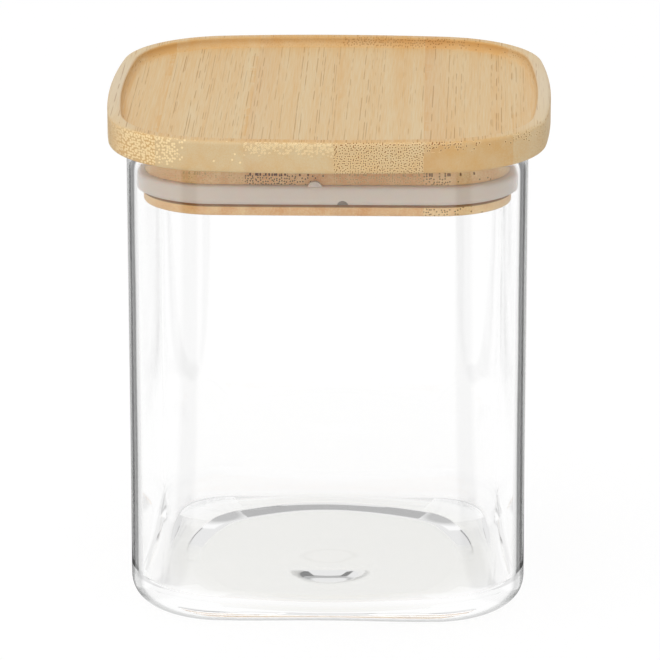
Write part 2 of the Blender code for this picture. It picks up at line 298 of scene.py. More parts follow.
def adder(tree):
    """The function that adds a node to a tree, sets it up, and feeds its inputs.

    An input takes a value, a socket, or a node, whose first output is then meant. Kinds are
    short for shader nodes, so Math is ShaderNodeMath. Map Range's inputs are 0 for the value,
    1 and 2 for the range it comes from, and 3 and 4 for the one it goes to. Mix's are 0 for the
    share, and then 2 and 3 for numbers, 4 and 5 for vectors, and 6 and 7 for colours.
    """
    def add(kind, inputs=(), operation=None, **settings):
        short = not kind.startswith(("GeometryNode", "NodeGroup"))
        node = tree.nodes.new("ShaderNode" + kind if short else kind)
        if operation:
            node.operation = operation
        for name, value in settings.items():
            setattr(node, name, value)
        pairs = inputs.items() if isinstance(inputs, dict) else enumerate(inputs)
        for key, value in pairs:
            if isinstance(value, bpy.types.Node):
                value = next(socket for socket in value.outputs if socket.enabled)
            if isinstance(value, bpy.types.NodeSocket):
                tree.links.new(value, node.inputs[key])
            else:
                node.inputs[key].default_value = value
        return node
    return add


def arc(centre_u, centre_z, radius, start, end, steps):
    """Points of a profile's arc from start to end degrees, both ends included."""
    angles = [math.radians(start + (end - start) * step / steps) for step in range(steps + 1)]
    return [(centre_u + radius * math.cos(a), centre_z + radius * math.sin(a)) for a in angles]


def straight(start, end, steps):
    """Points between two profile points, without either of them."""
    shares = [step / steps for step in range(1, steps)]
    return [(start[0] + (end[0] - start[0]) * s, start[1] + (end[1] - start[1]) * s) for s in shares]


# Geometry Nodes

def outline_group():
    """Node group: a point on the outline of a square with bowed sides and round corners.

    Turn runs from 0 to 1 round the outline, and Along is 1 mid-side and 0 at a corner.
    """
    tree = bpy.data.node_groups.new("Bowed Square Outline", "GeometryNodeTree")
    for name in ("Half", "Side Radius", "Corner Radius", "Turn", "Side Share"):
        tree.interface.new_socket(name, in_out="INPUT", socket_type="NodeSocketFloat")
    tree.interface.new_socket("Point", in_out="OUTPUT", socket_type="NodeSocketVector")
    tree.interface.new_socket("Along", in_out="OUTPUT", socket_type="NodeSocketFloat")
    add = adder(tree)
    given = add("NodeGroupInput").outputs
    half, side, corner = given["Half"], given["Side Radius"], given["Corner Radius"]

    setback = add("Math", (side, half), "SUBTRACT")
    span = add("Math", (side, corner), "SUBTRACT")
    span_squared = add("Math", (span, span), "MULTIPLY")
    setback_squared = add("Math", (setback, setback), "MULTIPLY")
    twice = add("Math", (span_squared, 2.0), "MULTIPLY")
    rest = add("Math", (twice, setback_squared), "SUBTRACT")
    reach = add("Math", (rest,), "SQRT")
    double_centre = add("Math", (reach, setback), "SUBTRACT")
    centre = add("Math", (double_centre, 0.5), "MULTIPLY")
    far = add("Math", (centre, setback), "ADD")
    bow_angle = add("Math", (centre, far), "ARCTAN2")

    quarters = add("Math", (given["Turn"], 4.0), "MULTIPLY")
    quarter = add("Math", (quarters,), "FLOOR")
    within = add("Math", (quarters,), "FRACT")
    folded = add("Math", (within, 1.0), "PINGPONG")
    back = add("Math", (1.0, within), "SUBTRACT")
    nearer = add("Math", (folded, back), "MINIMUM")
    step = add("Math", (nearer, 2.0), "MULTIPLY")

    on_side = add("MapRange", {0: step, 2: given["Side Share"]})
    on_corner = add("MapRange", {0: step, 1: given["Side Share"], 2: 1.0})
    side_angle = add("Math", (bow_angle, on_side), "MULTIPLY")
    left = add("Math", (math.pi / 4, bow_angle), "SUBTRACT")
    corner_angle = add("Math", (on_corner, left, bow_angle), "MULTIPLY_ADD")

    side_cos, side_sin, corner_cos, corner_sin = (
        add("Math", (angle,), wave) for angle in (side_angle, corner_angle) for wave in ("COSINE", "SINE"))
    side_x_far = add("Math", (side, side_cos), "MULTIPLY")
    side_x = add("Math", (side_x_far, setback), "SUBTRACT")
    side_y = add("Math", (side, side_sin), "MULTIPLY")
    corner_x = add("Math", (corner, corner_cos, centre), "MULTIPLY_ADD")
    corner_y = add("Math", (corner, corner_sin, centre), "MULTIPLY_ADD")

    round_it = add("Math", (step, given["Side Share"]), "GREATER_THAN")
    side_point = add("CombineXYZ", (side_x, side_y))
    corner_point = add("CombineXYZ", (corner_x, corner_y))
    point = add("Mix", {0: round_it, 4: side_point, 5: corner_point}, data_type="VECTOR")
    parts = add("SeparateXYZ", {0: point.outputs[1]})
    mirrored = add("CombineXYZ", (parts.outputs[1], parts.outputs[0]))
    past = add("Math", (within, 0.5), "GREATER_THAN")
    folded_point = add("Mix", {0: past, 4: point.outputs[1], 5: mirrored}, data_type="VECTOR")
    turn = add("Math", (quarter, math.pi / 2), "MULTIPLY")
    turned = add("VectorRotate", {0: folded_point.outputs[1], 3: turn}, rotation_type="Z_AXIS")
    along = add("Math", (1.0, on_side), "SUBTRACT")
    add("NodeGroupOutput", {"Point": turned, "Along": along})
    return tree


def sweep_tree(outline):
    """Geometry Nodes tree: sweeps a profile of (half width, height) round a bowed square.

    The object's own mesh is the profile, as a chain of points in the XZ plane. Each point
    keeps its true distance from the nominal outline. Near the axis, where the corners would
    shrink below Least Corner Radius, the outline eases into a circle.
    """
    tree = bpy.data.node_groups.new("Bowed Square Sweep", "GeometryNodeTree")
    face = tree.interface
    face.new_socket("Geometry", in_out="OUTPUT", socket_type="NodeSocketGeometry")
    face.new_socket("Geometry", in_out="INPUT", socket_type="NodeSocketGeometry")
    defaults = {
        "Nominal Half": 50 * MM, "Side Radius": 2900 * MM, "Corner Radius": 22.5 * MM,
        "Least Corner Radius": 3 * MM, "Side Share": 0.35, "Arch Rise": 0.0,
        "Arch Top": 3.2 * MM, "Arch Inner Half": 38 * MM, "Arch Fade": 10 * MM,
        "Mark Radius": 9.5 * MM, "Mark Shift": 0.0,
        "Waviness": 0.0, "Wave Length": 22 * MM, "Wavy Inside Half": 48.5 * MM,
    }
    for name, value in defaults.items():
        socket = face.new_socket(name, in_out="INPUT", socket_type="NodeSocketFloat")
        socket.default_value = value
    face.new_socket("Around", in_out="INPUT", socket_type="NodeSocketInt").default_value = 256
    face.new_socket("Seed", in_out="INPUT", socket_type="NodeSocketInt").default_value = 7
    face.new_socket("Material", in_out="INPUT", socket_type="NodeSocketMaterial")
    add = adder(tree)
    given = add("NodeGroupInput").outputs

    count = add("GeometryNodeAttributeDomainSize", {0: given["Geometry"]}, component="MESH")
    rows = count.outputs["Point Count"]
    columns = add("Math", (given["Around"], 1.0), "ADD")
    grid = add(
        "GeometryNodeMeshGrid", {"Vertices X": columns, "Vertices Y": rows, "Size X": 1.0, "Size Y": 1.0})
    index = add("GeometryNodeInputIndex")
    row = add("Math", (index, rows), "MODULO")
    place = add("GeometryNodeInputPosition")
    profile = add(
        "GeometryNodeSampleIndex", {"Geometry": given["Geometry"], "Value": place, "Index": row},
        data_type="FLOAT_VECTOR", domain="POINT")
    station = add("SeparateXYZ", {0: profile})
    half, height = station.outputs[0], station.outputs[2]
    column = add("Math", (index, rows), "DIVIDE")
    whole = add("Math", (column,), "FLOOR")
    share = add("Math", (whole, given["Around"]), "DIVIDE")
    turn = add("Math", (share,), "FRACT")

    deepest = add("Math", (given["Corner Radius"], given["Least Corner Radius"]), "SUBTRACT")
    edge_half = add("Math", (given["Nominal Half"], deepest), "SUBTRACT")
    used_half = add("Math", (half, edge_half), "MAXIMUM")
    inset = add("Math", (given["Nominal Half"], used_half), "SUBTRACT")
    side = add("Math", (given["Side Radius"], inset), "SUBTRACT")
    corner = add("Math", (given["Corner Radius"], inset), "SUBTRACT")
    square = add("GeometryNodeGroup", {
        "Half": used_half, "Side Radius": side, "Corner Radius": corner, "Turn": turn,
        "Side Share": given["Side Share"]}, node_tree=outline)
    ease = add("Math", (half, used_half), "DIVIDE")
    shrunk = add("VectorMath", {0: square.outputs["Point"], "Scale": ease}, "SCALE")
    direction = add("VectorMath", {0: square.outputs["Point"]}, "NORMALIZE")
    circle = add("VectorMath", {0: direction, "Scale": half}, "SCALE")
    squareness = add("Math", (1.0, station.outputs[1]), "SUBTRACT")
    least = add("Math", (squareness, ease), "MINIMUM")
    flat = add("Mix", {0: least, 4: circle, 5: shrunk}, data_type="VECTOR")

    quarter_wave = add("Math", (square.outputs["Along"], math.pi / 2), "MULTIPLY")
    wave = add("Math", (quarter_wave,), "SINE")
    wave_squared = add("Math", (wave, wave), "MULTIPLY")
    up_heel = add("MapRange", {0: height, 2: given["Arch Top"], 3: 1.0, 4: 0.0})
    fade_half = add("Math", (given["Arch Inner Half"], given["Arch Fade"]), "SUBTRACT")
    inwards = add("MapRange", {0: half, 1: fade_half, 2: given["Arch Inner Half"]})
    arch = add("Math", (wave_squared, up_heel), "MULTIPLY")
    arch_in = add("Math", (arch, inwards), "MULTIPLY")
    lift = add("Math", (arch_in, given["Arch Rise"]), "MULTIPLY")
    raised = add("Math", (height, lift), "ADD")

    near_mark = add(
        "MapRange",
        {0: half, 1: given["Mark Radius"], 2: given["Arch Inner Half"], 3: given["Mark Shift"], 4: 0.0})
    under = add("Math", (height, given["Arch Top"]), "LESS_THAN")
    shifted = add("Math", (near_mark, under), "MULTIPLY")
    upright = add("CombineXYZ", {1: shifted, 2: raised})
    point = add("VectorMath", (flat.outputs[1], upright), "ADD")
    frequency = add("Math", (1.0, given["Wave Length"]), "DIVIDE")
    noise = add(
        "TexNoise", {"Vector": point, "W": given["Seed"], "Scale": frequency, "Detail": 0.0},
        noise_dimensions="4D")
    centred = add("Math", (noise.outputs[0], 0.5), "SUBTRACT")
    inside = add("Math", (half, given["Wavy Inside Half"]), "LESS_THAN")
    above = add("Math", (height, given["Arch Top"]), "GREATER_THAN")
    inner_wall = add("Math", (inside, above), "MULTIPLY")
    swell = add("Math", (centred, given["Waviness"]), "MULTIPLY")
    twice = add("Math", (swell, 2.0), "MULTIPLY")
    kept = add("Math", (twice, inner_wall), "MULTIPLY")
    push = add("VectorMath", {0: direction, "Scale": kept}, "SCALE")
    final = add("VectorMath", (point, push), "ADD")

    placed = add("GeometryNodeSetPosition", {"Geometry": grid.outputs["Mesh"], "Position": final})
    welded = add("GeometryNodeMergeByDistance", {"Geometry": placed, "Distance": WELD})
    smooth = add("GeometryNodeSetShadeSmooth", {"Geometry": welded})
    real = add("GeometryNodeRealizeInstances", {"Geometry": smooth})
    dressed = add("GeometryNodeSetMaterial", {"Geometry": real, "Material": given["Material"]})
    add("NodeGroupOutput", {"Geometry": dressed})
    return tree


def plain_mesh(obj, name):
    """The evaluated object's mesh, as a plain one without modifiers."""
    evaluated = obj.evaluated_get(bpy.context.evaluated_depsgraph_get())
    mesh = bpy.data.meshes.new_from_object(evaluated)
    mesh.name = name
    return mesh


def sweep(name, profile, material, **sizes):
    """Sweep a profile with the Geometry Nodes tree, and return the plain mesh."""
    tree = bpy.data.node_groups.get("Bowed Square Sweep") or sweep_tree(outline_group())
    chain = bpy.data.meshes.new(name + "_profile")
    points = [(u, roundness[0] if roundness else 0.0, z) for u, z, *roundness in profile]
    chain.from_pydata(points, [(i, i + 1) for i in range(len(profile) - 1)], [])
    host = bpy.data.objects.new(name + "_profile", chain)
    modifier = host.modifiers.new("Sweep", "NODES")
    modifier.node_group = tree
    sockets = {
        item.name: item.identifier for item in tree.interface.items_tree
        if item.item_type == "SOCKET" and item.in_out == "INPUT"
    }
    modifier[sockets["Material"]] = material
    for label, value in sizes.items():
        modifier[sockets[label.replace("_", " ").title()]] = value
    bpy.context.scene.collection.objects.link(host)
    mesh = plain_mesh(host, name)
    host.modifiers.remove(modifier)
    bpy.data.objects.remove(host, do_unlink=True)
    bpy.data.meshes.remove(chain)
    mesh.materials.clear()
    mesh.materials.append(material)
    for polygon in mesh.polygons:
        polygon.material_index = 0
    mesh.set_sharp_from_angle(angle=SMOOTH_ANGLE)
    return mesh


def add_piece(name, mesh, body, nodes):
    """Put a finished mesh in the scene, on its body, in place of its CAD nodes."""
    piece = bpy.data.objects.new(name, mesh)
    bpy.context.scene.collection.objects.link(piece)
    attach(piece, body)
    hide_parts(*nodes)


def sawn(mesh, name, left, right):
    """A copy of the part of a closed mesh between two planes square to X, closed again."""
    bm = bmesh.new()
    bm.from_mesh(mesh)
    for x, side in ((left, -1), (right, 1)):
        if x is None:
            continue
        geometry = bm.verts[:] + bm.edges[:] + bm.faces[:]
        bmesh.ops.bisect_plane(
            bm, geom=geometry, dist=1e-8, plane_co=(x, 0, 0), plane_no=(side, 0, 0), clear_outer=True)
        open_edges = [edge for edge in bm.edges if edge.is_boundary]
        bmesh.ops.holes_fill(bm, edges=open_edges, sides=0)
        for edge in open_edges:
            if edge.is_valid:
                edge.smooth = False
    strip = bpy.data.meshes.new(name)
    bm.to_mesh(strip)
    bm.free()
    strip.materials.append(mesh.materials[0])
    return strip


def surface_shares(mesh):
    """Share of end grain, of the dish's wall, which carries painted shade, and of the rim, which
    carries a painted sheen, at each point of a board.

    On the rim it is 1 at the left and right, and -1 at the front and back.
    """
    end_grain, hollow, rim_sheen = [], [], []
    wall_gain, less_shade_on_right, rim_depth = 2.4, 0.4, 0.3 * MM
    top = max(vertex.co.z for vertex in mesh.vertices)
    for vertex in mesh.vertices:
        normal, outwards = vertex.normal, Vector((vertex.co.x, vertex.co.y, 0.0)).normalized()
        end_grain.append(abs(normal.y))
        # Painted shade on the dish's wall: its share, less on the right
        right = max(0.0, outwards.x) ** 2
        facing_in = min(1.0, max(0.0, -wall_gain * normal.dot(outwards)))
        hollow.append(facing_in * (1 - less_shade_on_right * right))
        # Painted sheen on the rim: paler at the left and right, warmer at the front and back
        on_rim = vertex.co.z > top - rim_depth
        sideways = outwards.x ** 2 - outwards.y ** 2
        rim_sheen.append(sideways * max(0.0, normal.z) if on_rim else 0.0)
    return {"end_grain": end_grain, "hollow": hollow, "rim_sheen": rim_sheen}


def add_strips(name, mesh, joints, looks, nodes):
    """Saw a swept board at its glue joints, and put each strip in place of its CAD node.

    Its looks, its left joint and its surface shares go along as attributes.
    """
    edges = [None, *joints, None]
    for index, (left, right, look, node) in enumerate(zip(edges, edges[1:], looks, nodes), start=1):
        strip = sawn(mesh, f"{name}_{index}", left, right)
        count = len(strip.vertices)
        start = min(vertex.co.x for vertex in strip.vertices)
        values = {label: [value] * count for label, value in zip(STRIP_LOOK, look)}
        values["left"] = [start] * count
        values.update(surface_shares(strip))
        for label, value in values.items():
            strip.attributes.new(label, "FLOAT", "POINT").data.foreach_set("value", value)
        add_piece(f"{name}_{index}", strip, "lid", [node])
    bpy.data.meshes.remove(mesh)


# Materials

def emptied(block):
    """Turn on a material's or a world's nodes, and return the adder of its emptied tree."""
    block.use_nodes = True
    block.node_tree.nodes.clear()
    return adder(block.node_tree)


def rays(add):
    """Light Path's outputs, whether light has bounced in glass, and whether the picture shows it."""
    path = add("LightPath").outputs
    bounced = add("Math", (path["Glossy Depth"], 1.0), "MINIMUM")
    seen = add("Math", (path["Is Camera Ray"], path["Is Transmission Ray"]), "MAXIMUM")
    looked_at = add("Math", (seen, path["Is Glossy Ray"]), "MAXIMUM")
    return path, bounced, looked_at


def floor_glow(add, place, gap_light):
    """The sweep as light that has bounced in the glass finds it: dark cards lie on it.

    They start beside the jar and widen on their way out along each diagonal. They give its
    upright edges their dark bands, down to the base.
    """
    fold_y, start_x, outwards = 25 * MM, 63 * MM, 0.62
    start_width, widening = 10 * MM, 0.20
    x, y, _ = add("SeparateXYZ", {0: place}).outputs
    sideways = add("Math", (x,), "ABSOLUTE")
    from_fold = add("Math", (y, fold_y), "ADD")
    mirrored = add("Math", (from_fold,), "ABSOLUTE")
    back = add("Math", (mirrored, fold_y), "SUBTRACT")
    middle = add("Math", (back, outwards, start_x), "MULTIPLY_ADD")
    beside = add("Math", (sideways, middle), "SUBTRACT")
    beside_middle = add("Math", (beside,), "ABSOLUTE")
    half = add("Math", (back, widening, start_width), "MULTIPLY_ADD")
    off_card = add("Math", (beside_middle, half), "DIVIDE")
    dark = add("MapRange", {0: off_card, 1: 0.85, 2: 1.5, 3: 1.0, 4: 0.0}, interpolation_type="SMOOTHSTEP")
    # No card reaches under the jar
    outside = add("MapRange", {0: sideways, 1: 46 * MM, 2: 50 * MM})
    cards = add("Math", (dark, outside), "MULTIPLY")
    # A grey spot under each back corner carries the grey band of the base on to its ends
    corner_x, corner_y, spot_shade = 32 * MM, 36 * MM, 0.6
    from_corner_x = add("Math", (sideways, corner_x), "SUBTRACT")
    from_corner_y = add("Math", (y, corner_y), "SUBTRACT")
    from_spot = add("VectorMath", (add("CombineXYZ", (from_corner_x, from_corner_y)),), "LENGTH")
    spot = add("MapRange", {0: from_spot, 1: 5 * MM, 2: 9 * MM, 3: spot_shade, 4: 0.0})
    shaded = add("Math", (cards, spot), "MAXIMUM")
    return add("Mix", {0: shaded, 2: 1.0, 3: gap_light})


def world_glow(add, direction, gap_light):
    """The surround as bounced light finds it: white, with a softbox behind the jar.

    A dark strip leans on each side of the softbox, and a grey band hangs under it. They give
    the base its dark marks and its grey band. All angles are in degrees.
    """
    x, y, z = add("SeparateXYZ", {0: direction}).outputs
    sideways = add("Math", (x,), "ABSOLUTE")
    turn = add("Math", (sideways, y), "ARCTAN2")
    off_axis = add("Math", (turn,), "DEGREES")
    rise = add("Math", (z,), "ARCSINE")
    up = add("Math", (rise,), "DEGREES")
    softbox_half, softbox_low, softbox_top = 11.0, 37.0, 44.0
    strip_lean, band_middle, band_shade = 1.1, 36.5, 0.6
    above_low = add("Math", (up, softbox_low), "SUBTRACT")
    strip = add("Math", (above_low, strip_lean, softbox_half), "MULTIPLY_ADD")
    from_strip = add("Math", (off_axis, strip), "SUBTRACT")
    off_strip = add("Math", (from_strip,), "ABSOLUTE")
    in_strip = add("MapRange", {0: off_strip, 1: 2.0, 2: 3.0, 3: 1.0, 4: 0.0})
    above = add("MapRange", {0: up, 1: softbox_low - 1.0, 2: softbox_low})
    below = add("MapRange", {0: up, 1: softbox_top, 2: softbox_top + 1.5, 3: 1.0, 4: 0.0})
    ends = add("Math", (above, below), "MULTIPLY")
    strips = add("Math", (in_strip, ends), "MULTIPLY")
    from_band = add("Math", (up, band_middle), "SUBTRACT")
    off_band = add("Math", (from_band,), "ABSOLUTE")
    in_band = add("MapRange", {0: off_band, 1: 1.8, 2: 2.8, 3: band_shade, 4: 0.0})
    behind = add("MapRange", {0: off_axis, 1: softbox_half, 2: softbox_half + 3.0, 3: 1.0, 4: 0.0})
    band = add("Math", (in_band, behind), "MULTIPLY")
    dark = add("Math", (strips, band), "MAXIMUM")
    return add("Mix", {0: dark, 2: 1.0, 3: gap_light})


def clear_glass(settings):
    """Borosilicate glass, blown into a mould: colourless and glossy, with painted shade that greys it where
    it is seen edge on.
    """
    material = bpy.data.materials.new("Borosilicate Glass, Mould Blown")
    add = emptied(material)
    # Painted shade: the glass is tinted grey where it is seen edge on, most at the round below, and along
    # the walls only at the first glass a ray meets; it gives the dark bands at its edges
    round_shade, wall_shade = 0.75, 0.54
    normal = add("SeparateXYZ", {0: add("NewGeometry").outputs["Normal"]}).outputs
    underside = add("MapRange", {0: normal[2], 1: -0.30, 2: -0.02, 3: 1.0, 4: 0.0})
    facing = add("LayerWeight", {"Blend": 0.5}).outputs["Facing"]
    grazing = add(
        "MapRange", {0: facing, 1: 0.45, 2: 0.75, 4: round_shade}, interpolation_type="SMOOTHSTEP")
    round_shade_share = add("Math", (grazing, underside), "MULTIPLY")
    path = add("LightPath").outputs
    along_wall = add("MapRange", {0: facing, 1: 0.52, 2: 0.60, 4: wall_shade})
    first_wall = add("Math", (path["Transmission Depth"], 0.5), "LESS_THAN")
    wall_shade_share = add("Math", (along_wall, first_wall), "MULTIPLY")
    painted_edge_shade = add("Math", (round_shade_share, wall_shade_share), "MAXIMUM")
    tint = add("Mix", {0: painted_edge_shade, 6: linear("FFFFFF"), 7: settings.edge_shade_colour}, data_type="RGBA").outputs[2]
    glass = add("BsdfPrincipled", {
        "Base Color": tint, "Roughness": 0.0, "IOR": settings.ior, "Transmission Weight": 1.0})
    clear = add("BsdfTransparent")
    trapped = add("Math", (path["Glossy Depth"], settings.bounces), "GREATER_THAN")
    unbent = add("Math", (path["Is Shadow Ray"], trapped), "MAXIMUM")
    add("OutputMaterial", {"Surface": add("MixShader", (unbent, glass, clear))})
    return material


def bamboo(name, wood, groove_low=0.0):
    """Laminated bamboo, sanded: a pale ground with long fibres and bundles of darker ones.

    Where the bundles are cut across they are dots with a pale sheath, and along them fine dashes.
    Painted shade on the dish's wall, under the board and under the seal, and a painted sheen on the
    left and right rims, are mixed into its colour.
    """
    material = bpy.data.materials.new(name)
    add = emptied(material)
    x, y, z = add("SeparateXYZ", {0: add("TexCoord").outputs["Object"]}).outputs
    looks = {
        label: add("Attribute", attribute_name=label).outputs["Fac"]
        for label in (*STRIP_LOOK, "left", "end_grain", "hollow", "rim_sheen")}

    # The grain's own coordinates: leaning, and gently winding
    slant = add("Math", (y, looks["lean"]), "MULTIPLY")
    winding = add("TexNoise", {"W": y, "Scale": 1 / (28 * MM), "Detail": 1.0}, noise_dimensions="1D")
    wander = add("Math", (winding, 0.12 * MM, slant), "MULTIPLY_ADD")
    across = add("Math", (x, wander), "SUBTRACT")
    grain = add("CombineXYZ", (across, y, z))

    # Noise drawn out along the grain, by its size in mm across, along and up it: the runs where
    # bundles show on a face, broad bands, and fine fibres
    bundle_mm = 0.64
    noises = []
    for sizes, detail in (((bundle_mm, 7, bundle_mm), 0.0), ((4, 160, 5), 3.0), ((0.32, 13, 0.32), 2.0)):
        scaled = add("VectorMath", (grain, [1 / (size * MM) for size in sizes]), "MULTIPLY")
        noises.append(add("TexNoise", {"Vector": scaled, "Scale": 1.0, "Detail": detail}).outputs[0])
    lengths, bands, fibres = noises

    # Fibre bundles, 0.64 mm apart, which run the whole length of a strip
    section = add("CombineXYZ", (across, z))
    cells = add(
        "TexVoronoi", {"Vector": section, "Scale": 1 / (bundle_mm * MM), "Randomness": 0.7},
        voronoi_dimensions="2D").outputs
    distance = cells["Distance"]
    chance = add("SeparateColor", {0: cells["Color"]}).outputs
    # The row right under the board gets larger dots, as painted shade under the board, and the run right
    # under the seal is painted dark, as painted shadow under the seal
    near_board = add("MapRange", {0: z, 1: LID_LOW.z - 3.0 * MM, 2: LID_LOW.z - 2.6 * MM})
    below_board = add("Math", (z, LID_LOW.z), "LESS_THAN")
    board_shade_row = add("Math", (near_board, below_board), "MULTIPLY")
    seal_shadow_band = add("MapRange", {0: z, 1: groove_low - 0.85 * MM, 2: groove_low - 0.65 * MM})
    core_distance = add("Math", (board_shade_row, -0.12, distance), "MULTIPLY_ADD")
    core, dash_core, sheath = (
        add("MapRange", {0: off, 1: full, 2: gone, 3: 1.0, 4: 0.0}, interpolation_type="SMOOTHSTEP")
        for off, full, gone in (
            (core_distance, 0.20, 0.36), (distance, 0.08, 0.28), (distance, 0.36, 0.52)))

    # Which bundles are there: near enough to the top, and fewer away from the left joint
    ragged_mm = 2.2
    below = add("Math", (LID_HIGH.z, z), "SUBTRACT")
    below_mm = add("Math", (below, 1 / MM), "MULTIPLY")
    ragged = add("Math", (chance[1], ragged_mm, below_mm), "MULTIPLY_ADD")
    deepest = add("Math", (looks["depth"], ragged_mm), "ADD")
    shallow = add("Math", (ragged, deepest), "LESS_THAN")
    from_left = add("Math", (x, looks["left"]), "SUBTRACT")
    from_left_mm = add("Math", (from_left, 1 / MM), "MULTIPLY")
    thinned = add("Math", (from_left_mm, looks["fade"]), "DIVIDE")
    kept = add("MapRange", {0: thinned, 1: 0.6, 2: 1.2, 3: 1.0, 4: 0.06})
    share = add("Math", (looks["bundles"], kept), "MULTIPLY")
    dense = add("Math", (chance[0], share), "LESS_THAN")
    there = add("Math", (shallow, dense), "MULTIPLY")

    # Cut across, on the ends, or along, on the faces
    on_end = add("MapRange", {0: looks["end_grain"], 1: 0.25, 2: 0.6})
    end_there = add("Math", (there, on_end), "MULTIPLY")
    end_core = add("Math", (core, end_there), "MULTIPLY")
    # In the painted shade of the dish's wall the sheaths fade, and so does the dark of the dots
    outside = add("Math", (1.0, looks["hollow"]), "SUBTRACT", use_clamp=True)
    open_sheath = add("Math", (sheath, outside), "MULTIPLY")
    end_sheath = add("Math", (open_sheath, end_there), "MULTIPLY")
    on_face = add("Math", (1.0, on_end), "SUBTRACT")
    front = add("MapRange", {0: y, 1: -46 * MM, 2: -30 * MM, 3: 0.34, 4: 0.46})
    past = add("Math", (lengths, front), "SUBTRACT")
    open_run = add("MapRange", {0: past, 2: 0.12})
    dash = add("Math", (dash_core, open_run), "MULTIPLY")
    face_core = add("Math", (dash, on_face), "MULTIPLY")
    strength = add("MapRange", {0: chance[0], 3: 0.12, 4: 0.50})

    # Ground: the strip's tone with bands and fibres over it, painted shade on the dish's wall, a painted
    # sheen on the left and right rims, and the blush beside a joint
    middling = 0.35
    swing = add("MapRange", {0: bands, 1: 0.3, 2: 0.7, 3: -0.22, 4: 0.22})
    fine = add("MapRange", {0: fibres, 1: 0.3, 2: 0.7, 3: -0.16, 4: 0.16})
    tone_share = add("MapRange", {0: on_end, 3: 0.10, 4: 1.0})
    off_middling = add("Math", (looks["tone"], middling), "SUBTRACT")
    shared_tone = add("Math", (off_middling, tone_share, middling), "MULTIPLY_ADD")
    toned = add("Math", (shared_tone, swing), "ADD")
    mottled = add("Math", (toned, fine), "ADD")
    # Painted shade: the dish's wall is warmer and darker
    dish_shaded = add("Math", (looks["hollow"], 0.42, mottled), "MULTIPLY_ADD")
    # Painted sheen: the left and right rims are less warm, and the front and back ones warmer
    warmth = add("Math", (looks["rim_sheen"], -0.4, dish_shaded), "MULTIPLY_ADD", use_clamp=True)
    near_joint = add("MapRange", {0: from_left_mm, 1: 1.0, 2: 7.0, 3: 0.30, 4: 0.0})
    patchy = add("Math", (near_joint, bands), "MULTIPLY")
    blush = add("Math", (patchy, looks["blush"]), "MULTIPLY")
    # Painted sheen: the left and right rims are mixed towards the pale grey D9CBB8 below
    painted_sheen_share = add("Math", (looks["rim_sheen"], 0.45), "MULTIPLY", use_clamp=True)

    # Over it, the sheaths, the cores and the painted shadow under the seal
    sheath_share = add("Math", (end_sheath, 0.75), "MULTIPLY")
    sunlit = add("MapRange", {0: looks["hollow"], 3: 0.97, 4: 0.5})
    end_ink = add("Math", (looks["darkness"], sunlit), "MULTIPLY")
    end_dark = add("Math", (end_core, end_ink), "MULTIPLY")
    spotted = add("Math", (face_core, strength, end_dark), "MULTIPLY_ADD")
    # Painted shadow: a dark run just under the seal's groove
    groove_edge = add("Math", (z, groove_low), "LESS_THAN")
    painted_seal_shadow = add("Math", (seal_shadow_band, groove_edge), "MULTIPLY")
    seal_shadow_share = add("Math", (painted_seal_shadow, 0.75), "MULTIPLY")
    dots_and_shadow_share = add("Math", (spotted, seal_shadow_share), "MAXIMUM", use_clamp=True)
    colour = wood.pale
    for share, tint in (
            (warmth, wood.warm), (blush, linear("B8693C")), (painted_sheen_share, linear("D9CBB8")),
            (sheath_share, wood.fleck), (dots_and_shadow_share, wood.dark)):
        colour = add("Mix", {0: share, 6: colour, 7: tint}, data_type="RGBA").outputs[2]
    rough = add("MapRange", {0: fibres, 1: 0.3, 2: 0.7, 3: 0.46, 4: 0.58})
    gloss = add("MapRange", {0: dots_and_shadow_share, 2: 0.6, 3: 0.35, 4: 0.0})
    relief = add("Bump", {"Strength": 0.3, "Distance": 0.05 * MM, "Height": fibres})
    surface = add("BsdfPrincipled", {
        "Base Color": colour, "Roughness": rough, "Specular IOR Level": gloss, "Normal": relief})
    add("OutputMaterial", {"Surface": surface})
    return material


def silicone(seal):
    """Food-grade silicone, moulded: milky, satin, with light that soaks in, and painted shade in its nick.
    """
    material = bpy.data.materials.new("Translucent Silicone, Moulded")
    add = emptied(material)
    x, y, z = add("SeparateXYZ", {0: add("TexCoord").outputs["Object"]}).outputs
    # Painted shade: a darker colour inside the nick at the front
    beside = add("Math", (x, seal.notch_x), "SUBTRACT")
    above = add("Math", (z, SEAL_LOW.z), "SUBTRACT")
    apart = add("VectorMath", (add("CombineXYZ", (beside, above)),), "LENGTH")
    in_nick = add("MapRange", {0: apart, 1: seal.notch_radius, 2: 1.04 * seal.notch_radius, 3: 1.0, 4: 0.0})
    front = add("Math", (y, 0.0), "LESS_THAN")
    shade = add("Math", (in_nick, front), "MULTIPLY")
    colour = add("Mix", {0: shade, 6: seal.colour, 7: seal.nick_colour}, data_type="RGBA").outputs[2]
    surface = add("BsdfPrincipled", {
        "Base Color": colour, "Roughness": 0.4, "IOR": 1.41, "Subsurface Weight": 0.3,
        "Subsurface Scale": 1.5 * MM})
    add("OutputMaterial", {"Surface": surface})
    return material


